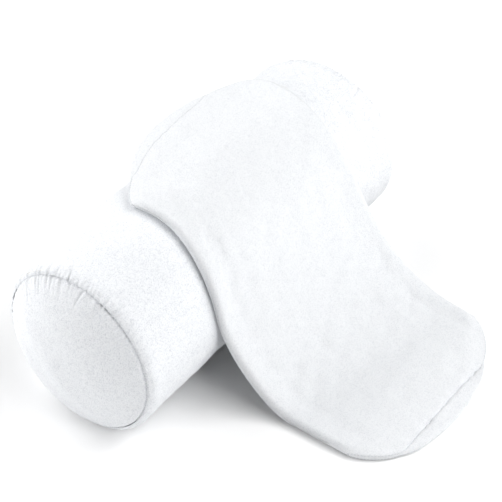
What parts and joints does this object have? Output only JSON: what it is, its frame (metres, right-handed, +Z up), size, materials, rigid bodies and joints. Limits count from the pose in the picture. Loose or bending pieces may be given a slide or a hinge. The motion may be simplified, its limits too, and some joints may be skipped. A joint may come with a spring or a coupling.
{
  "type": "bolster pillow",
  "caption": "Round white plush bolster pillow with domed, seamed ends and a back zip, with a matching empty cover draped across it to the floor.",
  "frame": {"origin": "on the floor, at the middle of the roll's pressed underside", "axes": "+X along the roll, +Z up, -Y towards the side where the spare cover comes down to the floor"},
  "size_m": [0.5062, 0.4339, 0.2107],
  "materials": {
    "plush": "matte",
    "foam": "matte",
    "fibre": "matte",
    "liner": "matte",
    "thread": "matte",
    "tape": "matte",
    "nylon": "satin",
    "zinc": "satin"
  },
  "bodies": {
    "bolster": {"foam_core": "foam", "fibre_wrap": "fibre", "fibre_pad_near": "fibre", "fibre_pad_far": "fibre", "liner_sleeve": "liner", "liner_end_near": "liner", "liner_end_far": "liner", "cover_sleeve": "plush", "cover_end_near": "plush", "cover_end_far": "plush", "seam_thread_near": "thread", "seam_thread_far": "thread", "zip_tape_upper": "tape", "zip_tape_lower": "tape", "zip_coil_upper": "nylon", "zip_coil_lower": "nylon", "zip_top_stop": "zinc", "zip_bottom_stop": "zinc"},
    "cover_slider": {"zip_slider": "zinc"},
    "cover_pull": {"zip_pull": "zinc"},
    "spare_cover": {"spare_sleeve": "plush", "spare_end_front": "plush", "spare_end_back": "plush", "spare_thread_front": "thread", "spare_thread_back": "thread", "spare_zip_tape_upper": "tape", "spare_zip_tape_lower": "tape", "spare_zip_coil_upper": "nylon", "spare_zip_coil_lower": "nylon", "spare_zip_top_stop": "zinc", "spare_zip_bottom_stop": "zinc"},
    "spare_slider": {"spare_zip_slider": "zinc"},
    "spare_pull": {"spare_zip_pull": "zinc"}
  },
  "joints": [
    {"name": "spare_lift", "type": "slide", "parent": "bolster", "child": "spare_cover", "axis": [0, 0, 1], "range_m": [0, 0.35]},
    {"name": "zip_run", "type": "slide", "parent": "bolster", "child": "cover_slider", "axis": [-1, 0, 0], "range_m": [0, 0.315]},
    {"name": "zip_pull_swing", "type": "hinge", "parent": "cover_slider", "child": "cover_pull", "pos_m": [0.1987, 0.08634, 0.04073], "axis": [0, -0.5446, -0.8387], "range_deg": [-80, 80]},
    {"name": "spare_zip_run", "type": "hinge", "parent": "spare_cover", "child": "spare_slider", "pos_m": [0.13856, 0.00138, 0.09448], "axis": [0.9871, -0.1378, -0.0815], "range_deg": [0, 30]},
    {"name": "spare_pull_swing", "type": "hinge", "parent": "spare_slider", "child": "spare_pull", "pos_m": [0.15192, 0.0037, 0.20405], "axis": [0, -0.0195, -0.9998], "range_deg": [-2, 150]}
  ]
}
